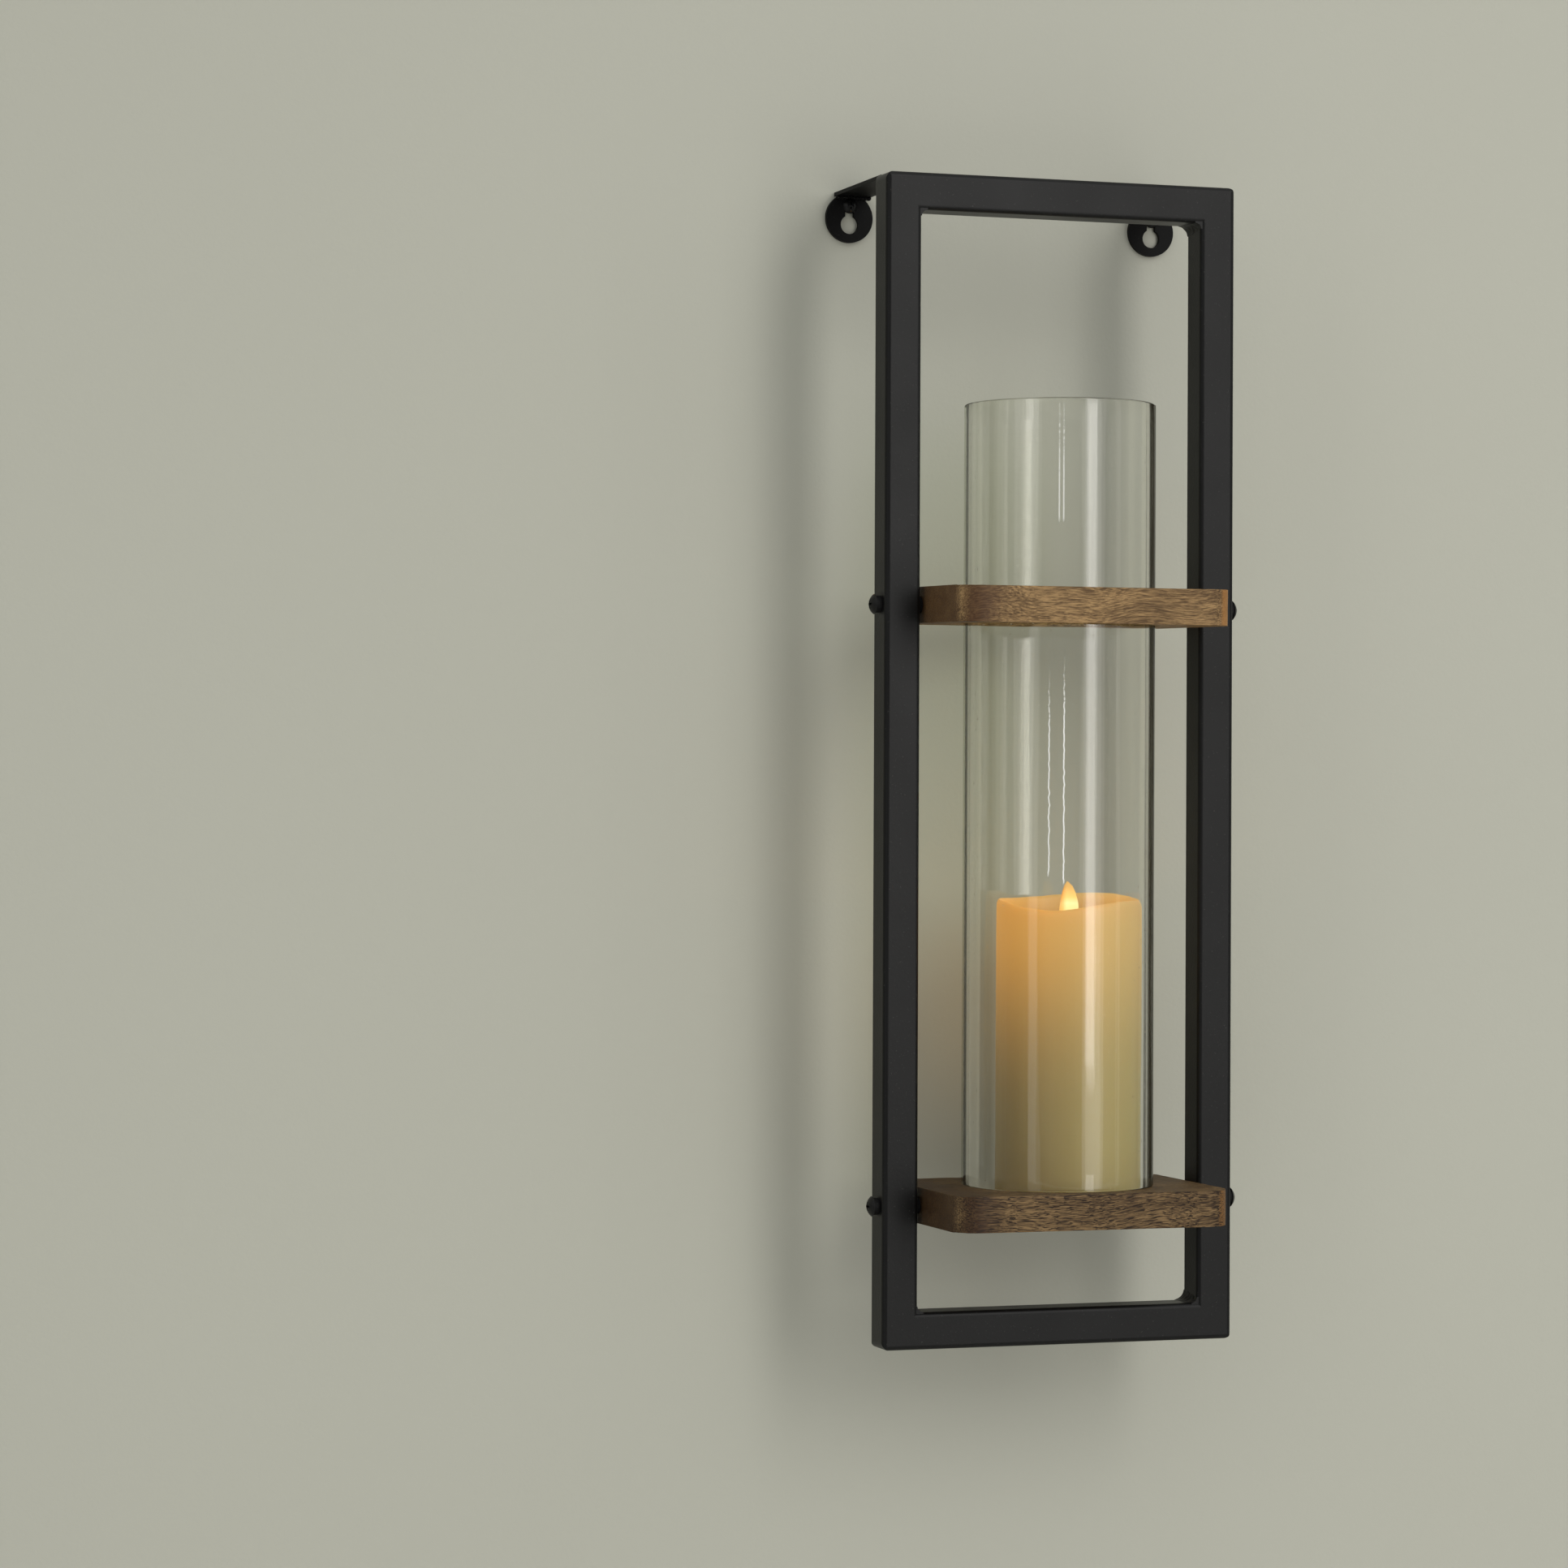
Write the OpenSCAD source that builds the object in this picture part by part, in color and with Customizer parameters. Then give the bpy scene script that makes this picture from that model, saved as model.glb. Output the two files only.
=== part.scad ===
// Wall sconce with a glass cylinder and a battery pillar candle.
// A welded frame of square steel tube hangs on two keyhole discs and carries two wooden
// boards. The glass stands on the lower board and passes through the round hole of the
// upper one. The candle stands inside it on the same board.
// +Z is up and the front faces -Y. The origin is on the wall, midway between the two
// keyhole openings.

/* [Frame] */
// Outer height of the frame
frame_h = 613; // [480:1:800]
// Side of the square tube
tube_w = 19.5; // [15:0.5:26]
// Wall of the square tube
tube_wall = 1.5; // [1:0.1:2.5]
// Radius on the long edges of the tube
tube_r = 2.5; // [1.6:0.1:3.5]
// Radius ground on the four outside corners of the frame
corner_r = 4; // [1:0.1:5]
// Leg of the weld left in each inside corner
weld_leg = 5.5; // [4:0.1:8]
// Radius of the ground fillet in front of that weld
fillet_leg = 3; // [1.5:0.1:3.6]

/* [Hangers] */
// Distance from the wall to the back of the frame
standoff = 72; // [45:1:110]
// Width of the hanger strap
strap_w = 20; // [14:0.5:28]
// Thickness of the hanger strap
strap_t = 2; // [1.5:0.1:4]
// Diameter of the keyhole disc
disc_d = 26.4; // [24:0.2:38]
// Thickness of the keyhole disc
disc_t = 2.5; // [1.5:0.1:4]
// How far each disc sits outside the middle of its strap
disc_out = 2; // [0:0.1:4]
// Diameter of the opening that passes the screw head
keyhole_d = 10; // [9:0.1:12]
// Width of the slot above the opening
slot_w = 5; // [4.4:0.1:6]
// Height of the slot's upper end above the opening's centre
slot_rise = 9.5; // [9:0.1:11]
// How far the opening sits below the disc's centre
keyhole_drop = 3.5; // [2:0.1:5]
// Radius of a weld bead
bead_r = 1.4; // [0.8:0.1:2]

/* [Boards] */
// Thickness of the two boards
board_t = 19; // [14:0.5:26]
// Radius of the boards' upright corners
board_r = 13; // [4:0.5:20]
// Wood left beside the round hole, towards each end of the board
side_wood = 24; // [17:0.5:40]
// Wood left in front of the round hole and behind it
front_wood = 5; // [4:0.5:14]
// How far the boards sit ahead of the middle of the tube
board_forward = 6; // [0:0.5:10]
// Height of the lower board's underside above the bottom of the frame
shelf_rise = 65; // [25:1:110]
// How far the upper board's top sits below the glass rim
ring_drop = 97; // [40:1:140]
// Thickness of the spacer between tube and board
spacer_t = 3; // [1.5:0.1:6]
// Diameter of the spacers
spacer_d = 9; // [8:0.5:10]
// Thickness of the spacer between tube and screw head
head_spacer_t = 3; // [0.5:0.1:5]

/* [Screws] */
// Diameter of the side screw's shank
bolt_d = 5; // [4:0.1:6]
// Diameter of the side screw's head
bolt_head_d = 10.6; // [10:0.1:14]
// Height of the side screw's head
bolt_head_h = 2.6; // [2.4:0.1:4]
// How far the side screw reaches into the board
bolt_bite = 10; // [7:0.5:12]
// Outer diameter of the threaded insert
insert_d = 8; // [7.5:0.1:9]
// Length of the threaded insert
insert_l = 12; // [12:0.5:14]
// Diameter of the wall screw's shank
wall_screw_d = 4; // [3.5:0.1:4.2]
// Diameter of the wall screw's head
wall_head_d = 8; // [7:0.1:8.4]
// Height of the wall screw's head
wall_head_h = 2.6; // [2:0.1:3.4]
// How far the wall screw reaches into the wall
wall_bite = 28; // [15:1:45]

/* [Glass] */
// Outer diameter of the glass cylinder
glass_d = 101.6; // [90:0.1:130]
// Wall of the glass cylinder
glass_wall = 1.8; // [1.5:0.1:4]
// Free height between the glass rim and the top rail
glass_headroom = 99; // [30:1:200]
// Gap between the glass and the edge of the round hole
glass_clear = 1.2; // [0.6:0.1:3]

/* [Candle] */
// Diameter of the candle
candle_d = 76.2; // [62:0.1:92]
// Height of the candle to the highest point of its rim
candle_h = 153; // [126:1:190]
// Drop of the rim from its highest point to its lowest
rim_drop = 8; // [2:0.5:12]
// Free gap on the side where the candle stands nearest the glass
candle_gap = 4.8; // [1:0.1:10]
// Thickness of the wax wall
wax_wall = 5; // [3:0.1:7]
// Wall of the moulded plastic parts
shell_wall = 1.6; // [1.2:0.1:2]
// Height of the flame's tip above the rim's highest point
flame_rise = 6.5; // [2:0.5:12]
// Width of the flame at its widest
flame_w = 10; // [7:0.1:12]
// Thickness of the flame
flame_t = 2; // [1.4:0.1:2.6]
// Diameter of the pivot wire
wire_d = 0.8; // [0.6:0.1:1.2]
// Travel of the switch
switch_travel = 3; // [2:0.1:4]
// Diameter of a battery cell
cell_d = 14.2; // [13.5:0.1:15]
// Length of a battery cell
cell_l = 50; // [44:0.5:51]

/* [Hidden] */
$fn = 64;
eps = 0.01;
big = 2000;

// clearances
bolt_clear = 0.25;     // round a screw's shank in a plain hole
thread_clear = 0.05;   // round a screw's shank in its insert
slip = 0.2;            // between moulded parts that slide together
wire_clear = 0.05;     // round the pivot wire in the flame
hang_clear = 0.05;     // over a wall screw's shank in its slot

// colours
steel_black = [0.03, 0.03, 0.033];
wood_brown = [0.42, 0.27, 0.15];
glass_tint = [0.85, 0.93, 0.89, 0.35];
wax_ivory = [0.95, 0.86, 0.6];
zinc = [0.62, 0.62, 0.6];
brass = [0.72, 0.55, 0.25];
plastic_ivory = [0.93, 0.9, 0.8];

// hangers, from the keyhole opening at z = 0
disc_z = keyhole_drop;
top_z = disc_z + disc_d / 2 + 0.5;
strap_z = top_z - strap_t;
wall_screw_z = slot_rise + (slot_w - wall_screw_d) / 2 - hang_clear;

// frame
hole_d = glass_d + 2 * glass_clear;
board_l = hole_d + 2 * side_wood;
board_d = hole_d + 2 * front_wood;
inner_w = board_l + 2 * spacer_t;
frame_w = inner_w + 2 * tube_w;
bottom_z = top_z - frame_h;
tube_back = -standoff;
tube_y = tube_back - tube_w / 2;
tube_front = tube_back - tube_w;
strap_x = frame_w / 2 - tube_r - strap_w / 2;
disc_x = strap_x + disc_out;

weld_start = 0.55;                   // share of the tube's depth ahead of the flat weld
weld_inset = 0.9;                    // welds stop this far inside the tube's depth

// boards and glass
board_y = tube_y - board_forward;
shelf_z = bottom_z + shelf_rise;
shelf_top = shelf_z + board_t;
glass_top = top_z - tube_w - glass_headroom;
glass_h = glass_top - shelf_top;
glass_id = glass_d - 2 * glass_wall;
ring_z = glass_top - ring_drop - board_t;
board_levels = [shelf_z + board_t / 2, ring_z + board_t / 2];

// candle, in its own frame: z = 0 on the lower board, on the candle's axis
candle_x = max(0, glass_id / 2 - candle_gap - candle_d / 2);
candle_r = candle_d / 2;
wax_in_r = candle_r - wax_wall;
rim_w = 3.2;                         // wax left at the rim, outside the melted pool
pool_depth = 20;                     // from the rim's highest point to the pool's middle
pool_z = candle_h - pool_depth;
wax_floor = 6;                       // wax under the pool
core_top = pool_z - wax_floor;
core_r = wax_in_r - slip;
core_in_r = core_r - shell_wall;
flame_hole_r = 8;
base_z = 2.5;                        // the base sits this far up inside the wax
base_t = 2;
base_r = core_in_r;
cell_z = base_z + base_t + 1;
cell_x = cell_d / 2 + 0.6;
bay_l = 4 * cell_x + 0.6;            // inside length of the battery bay
bay_w = cell_d + 1.2;                // inside width of the battery bay
spring_h = 4;
cell_bottom = cell_z + spring_h;
plate_t = 0.4;                       // strip over the upper ends of the cells
bay_top = cell_bottom + cell_l + plate_t + 0.1;
board_gap = 1;
pcb_z = bay_top + shell_wall + board_gap;
pcb_t = 1.6;
chamber_r = 12.5;
chamber_h = 27;
chamber_z = core_top - shell_wall - chamber_h;
pivot_z = chamber_z + 22;
coil_h = 6;
magnet_d = 8;
magnet_t = 4;
magnet_z = chamber_z + shell_wall + coil_h + 1.4;
flame_top = candle_h + flame_rise;
switch_y = -bay_w / 2 - 7.5;
knob_l = 4;
knob_w = 3.6;
knob_clear = 0.2;                    // the knob's end stays inside the base
slider_l = 7;
slider_w = 5.6;
switch_w = 6;
switch_h = 5;
flange_t = 1;                        // lip of the battery cover under the base
ear_reach = 3.5;                     // from the bay's outside to the cover screw
ear_y = bay_w / 2 + shell_wall + ear_reach;
ear_w = 8;
pilot_d = 2.5;
cover_screw_d = 2.4;
cover_head_d = 4;
cover_head_h = 0.9;
nub_d = 5.5;
nub_h = 1;
coil_d = 11;
coil_hole_d = 4;
slider_t = 1;

// A rounded rectangle centred on the origin, with true arcs at its corners.
module round_rect(x, y, r) {
    square([x - 2 * r, y], center = true);
    square([x, y - 2 * r], center = true);
    for (sx = [-1, 1], sy = [-1, 1])
        translate([sx * (x / 2 - r), sy * (y / 2 - r)])
            circle(r = r);
}

// A cylinder along X whose middle is at x = 0.
module rod_x(d, l) {
    rotate([0, 90, 0])
        cylinder(d = d, h = l, center = true);
}

// A cylinder along Y from y0 to y1.
module rod_y(d, y0, y1) {
    translate([0, y1, 0])
        rotate([90, 0, 0])
            cylinder(d = d, h = y1 - y0);
}

// ---------- frame ----------

// The square tube's cross-section, hollow or solid.
module tube_section(hollow = true) {
    difference() {
        round_rect(tube_w, tube_w, tube_r);
        if (hollow)
            round_rect(tube_w - 2 * tube_wall, tube_w - 2 * tube_wall, tube_r - tube_wall);
    }
}

// The frame's outline as a slab, which rounds its outside corners.
module frame_outline() {
    translate([0, tube_y, bottom_z + frame_h / 2])
        rotate([90, 0, 0])
            linear_extrude(tube_w + 2, center = true)
                round_rect(frame_w, frame_h, corner_r);
}

// A stile on the side given by sx, full length, before its ends are mitred.
module stile_tube(sx, hollow = true) {
    translate([sx * (frame_w - tube_w) / 2, tube_y, bottom_z])
        linear_extrude(frame_h)
            tube_section(hollow);
}

// A rail whose middle is at height z, full length, before its ends are mitred.
module rail_tube(z, hollow = true) {
    translate([-frame_w / 2, tube_y, z])
        rotate([0, 90, 0])
            linear_extrude(frame_w)
                tube_section(hollow);
}

// Mitre wedge for the stile on the side given by sx.
module stile_wedge(sx) {
    translate([0, tube_y, 0])
        rotate([90, 0, 0])
            linear_extrude(tube_w + 2, center = true)
                polygon([
                    [sx * frame_w / 2, bottom_z],
                    [sx * frame_w / 2, top_z],
                    [sx * (frame_w / 2 - tube_w), top_z - tube_w],
                    [sx * (frame_w / 2 - tube_w), bottom_z + tube_w]
                ]);
}

// Mitre wedge for a rail: z_out is its outer face and z_in its inner face.
module rail_wedge(z_out, z_in) {
    translate([0, tube_y, 0])
        rotate([90, 0, 0])
            linear_extrude(tube_w + 2, center = true)
                polygon([
                    [-frame_w / 2, z_out],
                    [frame_w / 2, z_out],
                    [frame_w / 2 - tube_w, z_in],
                    [-frame_w / 2 + tube_w, z_in]
                ]);
}

module stile(sx) {
    color(steel_black)
        difference() {
            intersection() {
                stile_tube(sx);
                stile_wedge(sx);
                frame_outline();
            }
            for (z = board_levels)
                translate([sx * (frame_w - tube_w) / 2, tube_y, z])
                    rod_x(bolt_d + 2 * bolt_clear, tube_w + 2);
        }
}

module frame_left_stile() {
    stile(-1);
}

module frame_right_stile() {
    stile(1);
}

module frame_top_rail() {
    color(steel_black)
        intersection() {
            rail_tube(top_z - tube_w / 2);
            rail_wedge(top_z, top_z - tube_w);
            frame_outline();
        }
}

module frame_bottom_rail() {
    color(steel_black)
        intersection() {
            rail_tube(bottom_z + tube_w / 2);
            rail_wedge(bottom_z, bottom_z + tube_w);
            frame_outline();
        }
}

// A corner's cross-section from inside the tube's edge: flat across, or hollowed by an arc.
module weld_section(leg, hollow) {
    difference() {
        translate([-tube_r, -tube_r])
            square(leg + tube_r);
        if (hollow)
            translate([leg, leg])
                circle(r = leg);
        else
            translate([leg, 0])
                rotate(45)
                    translate([0, -leg])
                        square(3 * leg);
    }
}

// In each inside corner a flat weld on the back part of the tube's faces, and in front of
// it a small fillet that was ground hollow.
module frame_corner_welds() {
    weld_y0 = tube_front + tube_w * weld_start;
    weld_y1 = tube_back - weld_inset;
    fillet_y0 = tube_front + weld_inset;
    color(steel_black)
        for (sx = [-1, 1], up = [0, 1]) {
            rail_z = up ? top_z - tube_w / 2 : bottom_z + tube_w / 2;
            difference() {
                translate([sx * inner_w / 2, weld_y1, rail_z + (up ? -1 : 1) * tube_w / 2])
                    scale([-sx, 1, up ? -1 : 1])
                        rotate([90, 0, 0]) {
                            linear_extrude(weld_y1 - weld_y0)
                                weld_section(weld_leg, false);
                            linear_extrude(weld_y1 - fillet_y0)
                                weld_section(fillet_leg, true);
                        }
                stile_tube(sx, hollow = false);
                rail_tube(rail_z, hollow = false);
            }
        }
}

// ---------- hangers ----------

module hanger_strap(sx) {
    color(steel_black)
        difference() {
            translate([sx * strap_x - strap_w / 2, tube_back - tube_r, strap_z])
                cube([strap_w, standoff + tube_r, strap_t]);
            rail_tube(top_z - tube_w / 2, hollow = false);
        }
}

// Everything of the disc except the keyhole.
module disc_blank(sx) {
    intersection() {
        translate([sx * disc_x, 0, disc_z])
            rod_y(disc_d, -disc_t, 0);
        translate([-big / 2, -big / 2, strap_z - big])
            cube(big);
    }
}

module hanger_disc(sx) {
    color(steel_black)
        difference() {
            disc_blank(sx);
            translate([sx * disc_x, 0, 0])
                rod_y(keyhole_d, -disc_t - 1, 1);
            translate([sx * disc_x, 0, slot_rise])
                rod_y(slot_w, -disc_t - 1, 1);
            translate([sx * disc_x - slot_w / 2, -disc_t - 1, 0])
                cube([slot_w, disc_t + 2, slot_rise]);
        }
}

module hanger_strap_left() {
    hanger_strap(-1);
}

module hanger_strap_right() {
    hanger_strap(1);
}

module hanger_disc_left() {
    hanger_disc(-1);
}

module hanger_disc_right() {
    hanger_disc(1);
}

// A row of overlapping weld beads along X, each a ball that the plates cut away.
module bead_row(x0, x1, y, z) {
    count = floor((x1 - x0) / (1.5 * bead_r));
    for (i = [0:count])
        translate([x0 + i * (x1 - x0) / count, y, z])
            sphere(r = bead_r, $fn = 24);
}

// Beads under each strap, where it meets the disc and where it meets the tube.
module hanger_welds() {
    bead_in = bead_r * 0.45;
    strap_half = strap_w / 2 - bead_r;
    color(steel_black)
        for (sx = [-1, 1]) {
            difference() {
                bead_row(
                    sx * strap_x - strap_half, sx * strap_x + strap_half,
                    -disc_t - bead_in, strap_z - bead_in
                );
                translate([sx * disc_x, 0, disc_z])
                    rod_y(disc_d, -disc_t, 0);
                translate([sx * disc_x, 0, wall_screw_z])
                    rod_y(wall_head_d + 2 * bolt_clear, -standoff, 0);
                translate([sx * strap_x - strap_w, -standoff, strap_z])
                    cube([2 * strap_w, standoff, strap_t + bead_r]);
            }
            difference() {
                bead_row(
                    sx * strap_x - strap_half, sx * strap_x + strap_half,
                    tube_back + bead_in, strap_z - bead_in
                );
                rail_tube(top_z - tube_w / 2, hollow = false);
                stile_tube(sx, hollow = false);
                translate([sx * strap_x - strap_w, tube_back - tube_r, strap_z])
                    cube([2 * strap_w, standoff, strap_t + bead_r]);
            }
        }
}

// Pan-head screw along +X from its seat at x = 0, with the head at x < 0.
module pan_head(d, h) {
    dome_r = (d * d / 4 + h * h) / (2 * h);
    cross_w = d / 9;
    cross_l = d * 0.46;
    difference() {
        intersection() {
            translate([-h, 0, 0])
                rotate([0, 90, 0])
                    cylinder(d = d, h = h);
            translate([dome_r - h, 0, 0])
                sphere(r = dome_r);
        }
        for (a = [0, 90])
            rotate([a, 0, 0])
                translate([-h - eps, -cross_l / 2, -cross_w / 2])
                    cube([h * 0.6, cross_l, cross_w]);
    }
}

// Two screws in the wall, each with the slot's upper end hanging on its shank.
module wall_screws() {
    tip_l = 5;
    color(steel_black)
        for (sx = [-1, 1])
            translate([sx * disc_x, -disc_t, wall_screw_z])
                rotate([0, 0, 90]) {
                    pan_head(wall_head_d, wall_head_h);
                    rotate([0, 90, 0])
                        cylinder(d = wall_screw_d, h = disc_t + wall_bite - tip_l);
                    translate([disc_t + wall_bite - tip_l, 0, 0])
                        rotate([0, 90, 0])
                            cylinder(d1 = wall_screw_d, d2 = 0.6, h = tip_l);
                }
}

// ---------- boards ----------

// A board with its underside at height z and an insert hole in the middle of each end.
module board_blank(z) {
    difference() {
        translate([0, board_y, z])
            linear_extrude(board_t)
                round_rect(board_l, board_d, board_r);
        for (sx = [-1, 1])
            translate([sx * (board_l - insert_l) / 2, tube_y, z + board_t / 2])
                rod_x(insert_d, insert_l + eps);
    }
}

module upper_ring() {
    color(wood_brown)
        difference() {
            board_blank(ring_z);
            translate([0, board_y, ring_z - 1])
                cylinder(d = hole_d, h = board_t + 2, $fn = 128);
        }
}

module lower_shelf() {
    color(wood_brown)
        board_blank(shelf_z);
}

// Places its children at each of the four board ends, with +X pointing into the board
// and x = 0 on the board's end.
module at_board_ends() {
    for (z = board_levels, sx = [-1, 1])
        translate([sx * board_l / 2, tube_y, z])
            rotate([0, 0, sx < 0 ? 0 : 180])
                children();
}

module side_screws() {
    seat = -spacer_t - tube_w - head_spacer_t;
    color(steel_black)
        at_board_ends()
            translate([seat, 0, 0]) {
                pan_head(bolt_head_d, bolt_head_h);
                rotate([0, 90, 0])
                    cylinder(d = bolt_d, h = bolt_bite - seat);
            }
}

// A spacer ring t thick whose outer face is at x = 0, on the screw's axis.
module spacer_ring(t) {
    translate([t / 2, 0, 0])
        difference() {
            rod_x(spacer_d, t);
            rod_x(bolt_d + 2 * bolt_clear, t + 1);
        }
}

// On each side screw one spacer inside the tube's line and one under the head.
module spacers() {
    color(steel_black)
        at_board_ends() {
            translate([-spacer_t, 0, 0])
                spacer_ring(spacer_t);
            translate([-spacer_t - tube_w - head_spacer_t, 0, 0])
                spacer_ring(head_spacer_t);
        }
}

module threaded_inserts() {
    color(brass)
        at_board_ends()
            translate([insert_l / 2, 0, 0])
                difference() {
                    rod_x(insert_d, insert_l);
                    rod_x(bolt_d + 2 * thread_clear, insert_l + 1);
                }
}

// ---------- glass ----------

// Open at both ends, with a rounded rim at the top.
module glass_cylinder() {
    color(glass_tint)
        translate([0, board_y, shelf_top])
            rotate_extrude($fn = 128) {
                translate([glass_d / 2 - glass_wall, 0])
                    square([glass_wall, glass_h - glass_wall / 2]);
                translate([(glass_d - glass_wall) / 2, glass_h - glass_wall / 2])
                    circle(d = glass_wall, $fn = 32);
            }
}

// ---------- candle ----------

module at_candle() {
    translate([candle_x, board_y, shelf_top])
        children();
}

// Half-space above the sloping rim, highest at the back.
module above_rim() {
    slope = atan(rim_drop / candle_d);
    translate([0, candle_r, candle_h])
        rotate([slope, 0, 0])
            translate([-big / 2, -big / 2, 0])
                cube(big);
}

module candle_wax() {
    pool_r = candle_r - rim_w;
    pool_ball = (pool_r * pool_r + pool_depth * pool_depth) / (2 * pool_depth);
    color(wax_ivory)
        at_candle()
            difference() {
                cylinder(r = candle_r, h = candle_h, $fn = 128);
                translate([0, 0, -1])
                    cylinder(r = wax_in_r, h = core_top + 1, $fn = 128);
                translate([0, 0, pool_z + pool_ball])
                    sphere(r = pool_ball, $fn = 128);
                translate([0, 0, core_top - 1])
                    cylinder(r = flame_hole_r, h = pool_depth);
                above_rim();
            }
}

// Plastic liner: a cup turned over, with a hole in its top for the flame.
module candle_core() {
    color(plastic_ivory)
        at_candle()
            difference() {
                translate([0, 0, base_z])
                    cylinder(r = core_r, h = core_top - base_z, $fn = 128);
                translate([0, 0, base_z - 1])
                    cylinder(r = core_in_r, h = core_top - base_z - shell_wall + 1, $fn = 128);
                translate([0, 0, core_top - shell_wall - 1])
                    cylinder(r = flame_hole_r, h = shell_wall + 2);
            }
}

// Moulded base with the battery bay standing on it.
module candle_base() {
    bay_out_l = bay_l + 2 * shell_wall;
    bay_out_w = bay_w + 2 * shell_wall;
    bay_h = bay_top + shell_wall - base_z;
    window_l = knob_l + switch_travel + 2 * slip;
    color(plastic_ivory)
        at_candle()
            translate([0, 0, base_z])
                difference() {
                    union() {
                        cylinder(r = base_r, h = base_t, $fn = 128);
                        translate([-bay_out_l / 2, -bay_out_w / 2, 0])
                            cube([bay_out_l, bay_out_w, bay_h]);
                    }
                    translate([-bay_l / 2, -bay_w / 2, -1])
                        cube([bay_l, bay_w, bay_h - shell_wall + 1]);
                    translate([-knob_l / 2 - slip, switch_y - knob_w / 2 - slip, -1])
                        cube([window_l, knob_w + 2 * slip, base_t + 2]);
                    translate([0, ear_y, -1])
                        cylinder(d = pilot_d, h = base_t + 2);
                }
}

// Lid over the battery bay, with an ear for its screw.
module battery_cover() {
    color(plastic_ivory)
        at_candle()
            difference() {
                union() {
                    translate([-bay_l / 2 + slip, -bay_w / 2 + slip, base_z])
                        cube([bay_l - 2 * slip, bay_w - 2 * slip, shell_wall]);
                    translate([-bay_l / 2 + slip, -bay_w / 2 + slip, base_z - flange_t])
                        cube([bay_l - 2 * slip, bay_w, flange_t]);
                    translate([-ear_w / 2, bay_w / 2 - 1, base_z - flange_t])
                        cube([ear_w, shell_wall + 2 * ear_reach + 1, flange_t]);
                }
                translate([0, ear_y, base_z - 2 * flange_t])
                    cylinder(d = pilot_d, h = 3 * flange_t);
            }
}

module battery_cover_screw() {
    slot_cut = 0.4;
    color(zinc)
        at_candle()
            translate([0, ear_y, 0]) {
                difference() {
                    translate([0, 0, base_z - flange_t - cover_head_h])
                        cylinder(d = cover_head_d, h = cover_head_h);
                    translate([-cover_head_d * 0.3, -slot_cut / 2, base_z - flange_t - cover_head_h - eps])
                        cube([cover_head_d * 0.6, slot_cut, cover_head_h / 2]);
                }
                translate([0, 0, base_z - flange_t])
                    cylinder(d = cover_screw_d, h = base_t + 4);
            }
}

// Two cells standing side by side, each with its raised end up or down.
module battery_cells() {
    color([0.2, 0.22, 0.24])
        at_candle()
            for (sx = [-1, 1])
                translate([sx * cell_x, 0, cell_bottom]) {
                    translate([0, 0, sx > 0 ? 0 : nub_h])
                        cylinder(d = cell_d, h = cell_l - nub_h);
                    translate([0, 0, sx > 0 ? cell_l - nub_h : 0])
                        cylinder(d = nub_d, h = nub_h);
                }
}

// Points of one ring of a tube of radius r, around the point p, square to the direction dir.
function ring_points(p, dir, r, sides) =
    let (
        d = dir / norm(dir),
        u0 = cross(d, [0, 0, 1]),
        u = u0 / norm(u0),
        v = cross(d, u)
    )
    [for (k = [0:sides - 1]) p + r * (cos(360 * k / sides) * u + sin(360 * k / sides) * v)];

// A round wire swept along a list of points.
module wire(points, r, sides = 8) {
    n = len(points);
    rings = [
        for (i = [0:n - 1])
            ring_points(
                points[i],
                points[min(i + 1, n - 1)] - points[max(i - 1, 0)],
                r, sides
            )
    ];
    verts = [for (ring = rings) for (p = ring) p];
    sides_faces = [
        for (i = [0:n - 2], k = [0:sides - 1])
            let (a = i * sides + k, b = i * sides + (k + 1) % sides)
            [a, b, b + sides, a + sides]
    ];
    start = [for (k = [sides - 1:-1:0]) k];
    end = [for (k = [0:sides - 1]) (n - 1) * sides + k];
    polyhedron(points = verts, faces = concat([start], sides_faces, [end]), convexity = 4);
}

// Coned springs under the two cells, on the battery cover.
module battery_springs() {
    turns = 2.5;
    per_turn = 12;
    wire_r = 0.4;
    steps = turns * per_turn;
    z0 = base_z + shell_wall + wire_r + 0.05;
    z1 = cell_bottom - wire_r - 0.05;
    color(zinc)
        at_candle()
            for (sx = [-1, 1])
                translate([sx * cell_x, 0, 0])
                    wire([
                        for (i = [0:steps])
                            let (t = i / steps, a = 360 * turns * t, r = 4.6 - 2.2 * t)
                            [r * cos(a), r * sin(a), z0 + (z1 - z0) * t]
                    ], wire_r);
}

// Strip that joins the upper ends of the two cells.
module contact_plate() {
    color(zinc)
        at_candle()
            translate([-bay_l / 2 + 1, -3, bay_top - plate_t])
                cube([bay_l - 2, 6, plate_t]);
}

module circuit_board() {
    pcb_l = 24;
    pcb_w = 18;
    color([0.1, 0.35, 0.16])
        at_candle()
            translate([0, 0, pcb_z]) {
                translate([-pcb_l / 2, -pcb_w / 2, 0])
                    cube([pcb_l, pcb_w, pcb_t]);
                for (x = [-8, 8])
                    translate([x, 0, -board_gap])
                        cylinder(d = 3, h = board_gap);
                translate([-4, -3, pcb_t])
                    cube([8, 6, 1.4]);
                translate([8, 4, pcb_t])
                    cylinder(d = 5, h = 3);
            }
}

// Cup under the liner's top that holds the coil, the lamp and the pivot wire.
module flame_chamber() {
    color(plastic_ivory)
        at_candle()
            difference() {
                translate([0, 0, chamber_z])
                    cylinder(r = chamber_r, h = chamber_h);
                translate([0, 0, chamber_z + shell_wall])
                    cylinder(r = chamber_r - shell_wall, h = chamber_h);
                translate([0, 0, pivot_z])
                    rod_x(wire_d, 2 * chamber_r + 1);
            }
}

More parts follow.
